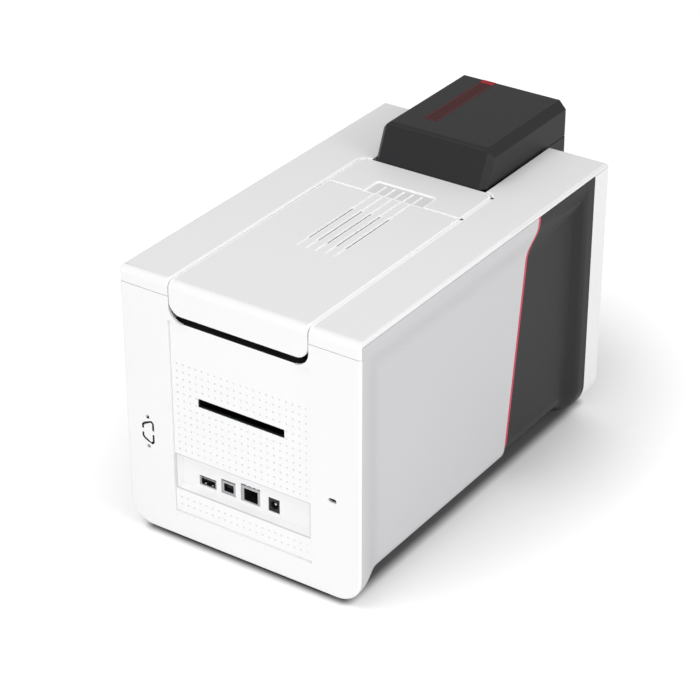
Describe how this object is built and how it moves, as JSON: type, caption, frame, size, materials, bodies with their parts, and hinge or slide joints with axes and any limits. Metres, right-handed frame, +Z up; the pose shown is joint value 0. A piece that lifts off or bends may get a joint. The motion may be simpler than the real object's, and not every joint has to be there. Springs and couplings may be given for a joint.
{
  "type": "card printer",
  "caption": "Desktop printer for plastic identity cards, with a hinged ribbon lid, a card feeder on its front top edge and an output hopper below it",
  "frame": {"origin": "on the table, under the middle of the bounding box", "axes": "+X across the machine, to the left of someone who faces its rear; +Y out of the rear face, with the ports and the lid's lip; +Z up"},
  "size_m": [0.205, 0.381, 0.245],
  "materials": {
    "belt_rubber": "moulded belt",
    "black_shell": "fine matt texture, near black",
    "board_green": "green solder mask",
    "bush_brass": "turned, oiled",
    "cleaning_rubber": "tacky red sleeve",
    "foot_rubber": "matt",
    "gear_brass": "cut brass",
    "gear_white": "natural acetal",
    "grey_control": "smooth grey",
    "grey_shell": "fine matt texture, light grey",
    "inner_black": "plain black moulding",
    "lens_clear": "clear, slightly milky",
    "motor_black": "black painted motor case",
    "motor_steel": "drawn steel can",
    "port_metal": "nickel plated shell",
    "red_trim": "smooth, satin red",
    "red_window": "smooth, tinted dark red",
    "ribbon_film": "glossy dark film",
    "ribbon_roll": "wound film on a dark core",
    "roller_rubber": "ground rubber sleeve",
    "sheet_steel": "zinc plated sheet",
    "sink_aluminium": "extruded, mill finish",
    "socket_black": "black insulator",
    "white_shell": "fine matt texture, injection moulded"
  },
  "bodies": {
    "casing": {"base_tray": "black_shell", "feet": "foot_rubber", "rear_bezel": "white_shell", "port_panel": "white_shell", "front_bezel": "white_shell", "front_fascia": "black_shell", "top_frame": "white_shell", "hinge_cover": "white_shell", "side_panel_left": "grey_shell", "side_panel_right": "grey_shell", "side_cover_left": "black_shell", "side_cover_right": "black_shell", "side_trims": "red_trim", "chassis_base": "sheet_steel", "chassis_plates": "sheet_steel", "card_guides": "inner_black", "bushes": "bush_brass", "drive_belts": "belt_rubber", "transport_motor": "motor_black", "ribbon_motor": "motor_steel", "main_board": "board_green", "usb_host_port": "port_metal", "usb_device_port": "port_metal", "ethernet_port": "port_metal", "power_inlet": "socket_black", "lock_plate": "sheet_steel", "indicator_lenses": "lens_clear", "feeder_housing": "black_shell", "feeder_window": "red_window", "ribbon_film": "ribbon_film", "screws": "sheet_steel"},
    "lid": {"lid": "white_shell", "lid_frame": "inner_black", "catch_posts": "inner_black", "lid_hinge_pins": "sheet_steel", "head_bracket": "sheet_steel", "fan_frame": "inner_black", "head_springs": "sheet_steel", "lid_magnets": "sheet_steel"},
    "print_head": {"print_head": "sink_aluminium"},
    "fan_rotor": {"fan_rotor": "inner_black"},
    "supply_spool": {"supply_spool": "ribbon_roll"},
    "takeup_spool": {"takeup_spool": "ribbon_roll", "takeup_gear": "gear_white"},
    "ribbon_drive": {"ribbon_pinion": "gear_brass"},
    "platen": {"platen_roller": "roller_rubber"},
    "entry": {"entry_roller": "roller_rubber"},
    "exit": {"exit_roller": "roller_rubber"},
    "feed": {"feed_roller": "roller_rubber"},
    "motor_shaft": {"motor_pinion": "gear_brass"},
    "entry_pinch": {"entry_pinch": "roller_rubber"},
    "exit_pinch": {"exit_pinch": "roller_rubber"},
    "cleaning": {"cleaning_roller": "cleaning_rubber"},
    "feeder_cover": {"feeder_cover": "black_shell", "level_window": "red_window"},
    "card_weight": {"card_weight": "inner_black"},
    "gauge": {"thickness_gauge": "grey_control"},
    "hopper": {"output_hopper": "black_shell"},
    "button": {"control_button": "grey_control"},
    "flap": {"diverter_flap": "sheet_steel"}
  },
  "joints": [
    {"name": "lid_hinge", "type": "hinge", "parent": "casing", "child": "lid", "pos_m": [0, 0.0096, 0.2115], "axis": [1, 0, 0], "range_deg": [0, 85]},
    {"name": "head_float", "type": "slide", "parent": "lid", "child": "print_head", "axis": [0, 0, 1], "range_m": [0, 0.001], "stiffness_N_per_m": 3000, "springref_m": -0.002, "deforming": ["head_springs"]},
    {"name": "fan_spin", "type": "hinge", "parent": "lid", "child": "fan_rotor", "pos_m": [0, 0.052, 0.208], "axis": [0, 0, 1], "continuous": true},
    {"name": "supply_spin", "type": "hinge", "parent": "casing", "child": "supply_spool", "pos_m": [0, 0.14, 0.16], "axis": [1, 0, 0], "continuous": true},
    {"name": "takeup_spin", "type": "hinge", "parent": "casing", "child": "takeup_spool", "pos_m": [0, 0.025, 0.16], "axis": [1, 0, 0], "continuous": true},
    {"name": "ribbon_drive_spin", "type": "hinge", "parent": "casing", "child": "ribbon_drive", "pos_m": [0, 0.025, 0.1396], "axis": [1, 0, 0], "continuous": true},
    {"name": "entry_spin", "type": "hinge", "parent": "casing", "child": "entry", "pos_m": [0, 0.015, 0.11702], "axis": [1, 0, 0], "continuous": true},
    {"name": "platen_spin", "type": "hinge", "parent": "casing", "child": "platen", "pos_m": [0, 0.067, 0.11702], "axis": [1, 0, 0], "continuous": true},
    {"name": "exit_spin", "type": "hinge", "parent": "casing", "child": "exit", "pos_m": [0, 0.125, 0.11702], "axis": [1, 0, 0], "continuous": true},
    {"name": "feed_spin", "type": "hinge", "parent": "casing", "child": "feed", "pos_m": [0, -0.1, 0.11702], "axis": [1, 0, 0], "continuous": true},
    {"name": "motor_spin", "type": "hinge", "parent": "casing", "child": "motor_shaft", "pos_m": [0, 0.015, 0.09182], "axis": [1, 0, 0], "continuous": true},
    {"name": "entry_pinch_spin", "type": "hinge", "parent": "casing", "child": "entry_pinch", "pos_m": [0, 0.015, 0.12978], "axis": [1, 0, 0], "continuous": true},
    {"name": "exit_pinch_spin", "type": "hinge", "parent": "casing", "child": "exit_pinch", "pos_m": [0, 0.125, 0.12978], "axis": [1, 0, 0], "continuous": true},
    {"name": "cleaning_spin", "type": "hinge", "parent": "casing", "child": "cleaning", "pos_m": [0, -0.025, 0.13178], "axis": [1, 0, 0], "continuous": true},
    {"name": "feeder_cover_hinge", "type": "hinge", "parent": "casing", "child": "feeder_cover", "pos_m": [0, -0.066, 0.224], "axis": [-1, 0, 0], "range_deg": [0, 60]},
    {"name": "card_weight_slide", "type": "slide", "parent": "casing", "child": "card_weight", "axis": [0, 0, 1], "range_m": [0, 0.075]},
    {"name": "gauge_slide", "type": "slide", "parent": "casing", "child": "gauge", "axis": [0, 0, 1], "range_m": [0, 0.0015]},
    {"name": "hopper_slide", "type": "slide", "parent": "casing", "child": "hopper", "axis": [0, -1, 0], "range_m": [0, 0.1]},
    {"name": "button_press", "type": "slide", "parent": "casing", "child": "button", "axis": [0, 1, 0], "range_m": [0, 0.0012], "stiffness_N_per_m": 400, "springref_m": -0.0005},
    {"name": "flap_turn", "type": "hinge", "parent": "casing", "child": "flap", "pos_m": [0, -0.05, 0.11852], "axis": [1, 0, 0], "range_deg": [0, 25]}
  ],
  "couplings": [
    {"joint": "ribbon_drive_spin", "follows": "takeup_spin", "ratio": -2.4},
    {"joint": "platen_spin", "follows": "entry_spin", "ratio": 1},
    {"joint": "exit_spin", "follows": "entry_spin", "ratio": 1},
    {"joint": "feed_spin", "follows": "entry_spin", "ratio": 1},
    {"joint": "motor_spin", "follows": "entry_spin", "ratio": -3.2},
    {"joint": "entry_pinch_spin", "follows": "entry_spin", "ratio": -1.4},
    {"joint": "exit_pinch_spin", "follows": "entry_spin", "ratio": -1.4},
    {"joint": "cleaning_spin", "follows": "entry_spin", "ratio": -1}
  ]
}
